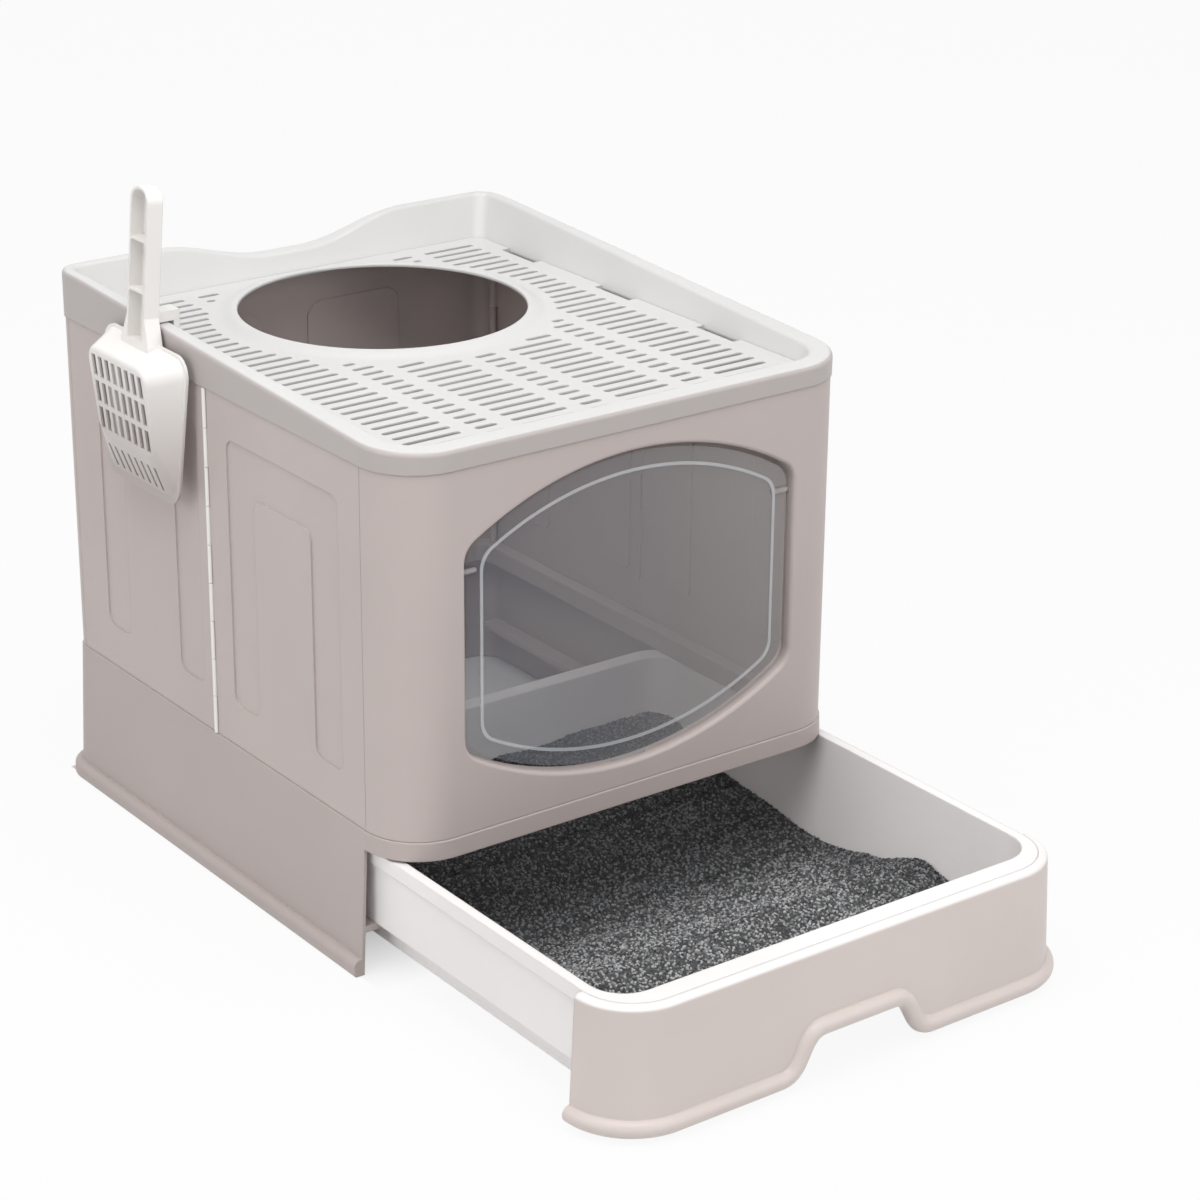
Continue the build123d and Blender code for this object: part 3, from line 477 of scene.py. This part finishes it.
link(in_strip.outputs["Boolean"], on_top.inputs[0])
link(upward.outputs["Result"], on_top.inputs[1])
link(group_in.outputs["Heap"], scatter.inputs["Mesh"])
link(on_top.outputs["Boolean"], scatter.inputs["Selection"])
link(group_in.outputs["Density"], scatter.inputs["Density"])
link(group_in.outputs["Granule size"], half_size.inputs[0])
link(half_size.outputs["Value"], pellet.inputs["Radius"])
link(scatter.outputs["Points"], place_pellets.inputs["Points"])
link(pellet.outputs["Mesh"], place_pellets.inputs["Instance"])
link(turn.outputs["Value"], place_pellets.inputs["Rotation"])
link(girth.outputs["Value"], place_pellets.inputs["Scale"])
link(place_pellets.outputs["Instances"], keep_tone.inputs["Geometry"])
link(shade.outputs[1], keep_tone.inputs["Value"])
link(keep_tone.outputs["Geometry"], realize.inputs["Geometry"])
link(realize.outputs["Geometry"], paint.inputs["Geometry"])
link(paint.outputs["Geometry"], group_out.inputs["Granules"])


def baked(piece, tree, settings):
    """Runs a node tree on a piece and keeps the plain mesh that comes out."""
    modifier = piece.modifiers.new("made", "NODES")
    modifier.node_group = tree
    names = {item.name: item.identifier for item in tree.interface.items_tree if item.in_out == "INPUT"}
    for name, value in settings.items():
        modifier[names[name]] = value
    depsgraph = bpy.context.evaluated_depsgraph_get()
    made = bpy.data.meshes.new_from_object(piece.evaluated_get(depsgraph))
    piece.modifiers.remove(modifier)
    piece.data = made
    return piece


heap = bpy.data.objects.new("litter_heap", heap_mesh())
heap.data.materials.append(litter_skin)
bpy.context.scene.collection.objects.link(heap)
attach(heap, "drawer")
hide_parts("litter_fill")
strip_length = (litter_high.y - basin_front) / granule_strips
strip_area = (litter_high.x - litter_low.x) * strip_length
for strip in range(granule_strips):
    granules = bpy.data.objects.new(f"litter_granules_{strip + 1}", heap.data.copy())
    bpy.context.scene.collection.objects.link(granules)
    start = basin_front + strip * strip_length
    sizes = {
        "Granule size": granule_size,
        "Density": granules_per_strip / strip_area,
        "Start": start,
        "End": start + strip_length,
    }
    baked(granules, granule_tree, sizes)
    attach(granules, "drawer")

# Stage. A plain pale floor under a soft white surround; neither belongs to the object.
# Both show white behind the object, and the floor dims under the box, where little light comes.
floor_mesh = bpy.data.meshes.new("floor")
floor_reach = 6.0
floor_mesh.from_pydata(
    [(-floor_reach, -floor_reach, 0), (floor_reach, -floor_reach, 0), (floor_reach, floor_reach, 0),
     (-floor_reach, floor_reach, 0)],
    [],
    [(0, 1, 2, 3)],
)
floor = bpy.data.objects.new("floor", floor_mesh)
floor.location.z = -0.0005
bpy.context.scene.collection.objects.link(floor)
floor_skin = bpy.data.materials.new("pale_floor")
floor_skin.use_nodes = True
floor_tree = floor_skin.node_tree
floor_paint = floor_tree.nodes["Principled BSDF"]
floor_paint.inputs["Base Color"].default_value = (0.70, 0.70, 0.70, 1)
floor_paint.inputs["Roughness"].default_value = 0.9
floor_glow = floor_tree.nodes.new("ShaderNodeEmission")


def shows_background(tree):
    """Whether a ray shows the background: straight from the camera, let through or mirrored."""
    ray = tree.nodes.new("ShaderNodeLightPath").outputs
    return largest_of(tree, ray["Is Camera Ray"], ray["Is Transmission Ray"], ray["Is Glossy Ray"])


def is_past(tree, measure, limit):
    """Whether a measure is past a limit."""
    past = tree.nodes.new("ShaderNodeMath")
    past.operation = "GREATER_THAN"
    past.inputs[1].default_value = limit
    tree.links.new(measure, past.inputs[0])
    return past.outputs["Value"]


box_half_width, box_rear = 0.207, 0.243
dim_full, dim_end = -0.05, -0.22
floor_axes = axes_of(floor_tree)
beyond_box = largest_of(
    floor_tree,
    is_past(floor_tree, size_of(floor_tree, floor_axes["X"]), box_half_width),
    is_past(floor_tree, floor_axes["Y"], box_rear),
    way_along(floor_tree, floor_axes["Y"], dim_full, dim_end),
)
floor_open = floor_tree.nodes.new("ShaderNodeMath")
floor_open.operation = "MULTIPLY"
white_share = floor_tree.nodes.new("ShaderNodeMath")
white_share.operation = "MULTIPLY"
white_share.inputs[1].default_value = 0.92
floor_mix = floor_tree.nodes.new("ShaderNodeMixShader")
floor_tree.links.new(shows_background(floor_tree), floor_open.inputs[0])
floor_tree.links.new(beyond_box, floor_open.inputs[1])
floor_tree.links.new(floor_open.outputs["Value"], white_share.inputs[0])
floor_tree.links.new(white_share.outputs["Value"], floor_mix.inputs["Fac"])
floor_tree.links.new(floor_paint.outputs["BSDF"], floor_mix.inputs[1])
floor_tree.links.new(floor_glow.outputs["Emission"], floor_mix.inputs[2])
floor_tree.links.new(floor_mix.outputs["Shader"], floor_tree.nodes["Material Output"].inputs["Surface"])
floor.data.materials.append(floor_skin)

world = bpy.data.worlds.new("soft_white_room")
bpy.context.scene.world = world
world.use_nodes = True
room_tree = world.node_tree
sky = room_tree.nodes["Background"]
sky.inputs["Color"].default_value = (1, 1, 1, 1)
sky.inputs["Strength"].default_value = 0.48
bright_sky = room_tree.nodes.new("ShaderNodeBackground")
bright_sky.inputs["Color"].default_value = (1, 1, 1, 1)
bright_sky.inputs["Strength"].default_value = 1.0
pick_sky = room_tree.nodes.new("ShaderNodeMixShader")
room_tree.links.new(shows_background(room_tree), pick_sky.inputs["Fac"])
room_tree.links.new(sky.outputs["Background"], pick_sky.inputs[1])
room_tree.links.new(bright_sky.outputs["Background"], pick_sky.inputs[2])
room_tree.links.new(pick_sky.outputs["Shader"], room_tree.nodes["World Output"].inputs["Surface"])


def soft_box(name, place, aim, size, power):
    """A large square studio lamp turned towards a point."""
    lamp = bpy.data.lights.new(name, "AREA")
    lamp.shape = "SQUARE"
    lamp.size = size
    lamp.energy = power
    piece = bpy.data.objects.new(name, lamp)
    piece.location = place
    piece.rotation_euler = (Vector(aim) - Vector(place)).to_track_quat("-Z", "Y").to_euler()
    bpy.context.scene.collection.objects.link(piece)


box_middle = (0.0, -0.1, 0.2)
soft_box("overhead_soft_box", (-0.4, -0.6, 2.6), box_middle, 2.2, 50)
soft_box("front_soft_box", (0.9, -2.6, 1.3), box_middle, 1.6, 14)
soft_box("left_soft_box", (-2.5, -0.3, 1.2), box_middle, 1.4, 12)

# Camera, at the photograph's viewing angle.
# Its place, turn and lens come from fitting the box's edges to the photograph.
camera_place = Vector((-1.2886, -1.9149, 1.1186))
camera_azimuth, camera_elevation, camera_roll = math.radians(36.84), math.radians(22.19), math.radians(0.54)
camera_data = bpy.data.cameras.new("camera")
camera_data.sensor_width = 36.0
camera_data.lens = 96.84
camera = bpy.data.objects.new("camera", camera_data)
looking = Vector((
    math.sin(camera_azimuth) * math.cos(camera_elevation),
    math.cos(camera_azimuth) * math.cos(camera_elevation),
    -math.sin(camera_elevation),
))
camera.location = camera_place
camera.rotation_mode = "QUATERNION"
camera.rotation_quaternion = looking.to_track_quat("-Z", "Y") @ Euler((0, 0, camera_roll)).to_quaternion()
bpy.context.scene.collection.objects.link(camera)
bpy.context.scene.camera = camera
bpy.context.scene.view_settings.view_transform = "Standard"
